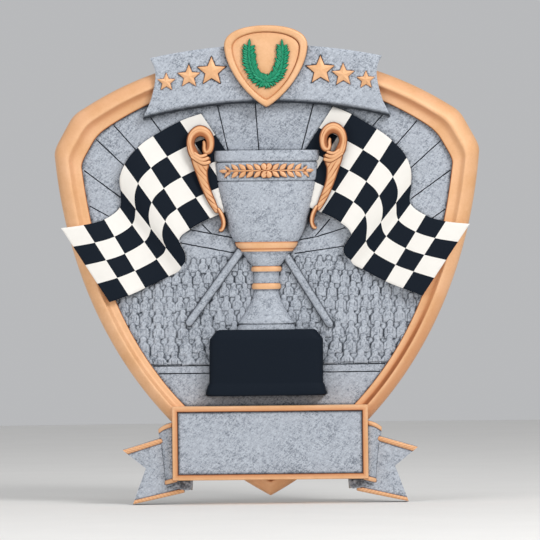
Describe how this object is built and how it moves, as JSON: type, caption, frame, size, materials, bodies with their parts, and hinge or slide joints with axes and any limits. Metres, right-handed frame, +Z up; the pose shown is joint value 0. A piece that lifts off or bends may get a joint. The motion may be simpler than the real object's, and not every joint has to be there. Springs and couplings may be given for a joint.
{
  "type": "award shield plaque",
  "caption": "Cast and painted shield-shaped wall plaque: a two-handled cup between waving chequered flags, starred banner and crest above, blank name plate with ribbon ends below.",
  "frame": {"origin": "middle of the flat back, where the plaque lies against the wall", "axes": "+X to the right seen from the front, +Y into the wall, +Z up"},
  "size_m": [0.2142, 0.021, 0.2403],
  "materials": {
    "painted_casting": "cast stone resin, hand painted in gold, grey, black, white and green, matte"
  },
  "bodies": {
    "root": {"shield_plaque": "painted_casting"}
  },
  "joints": []
}
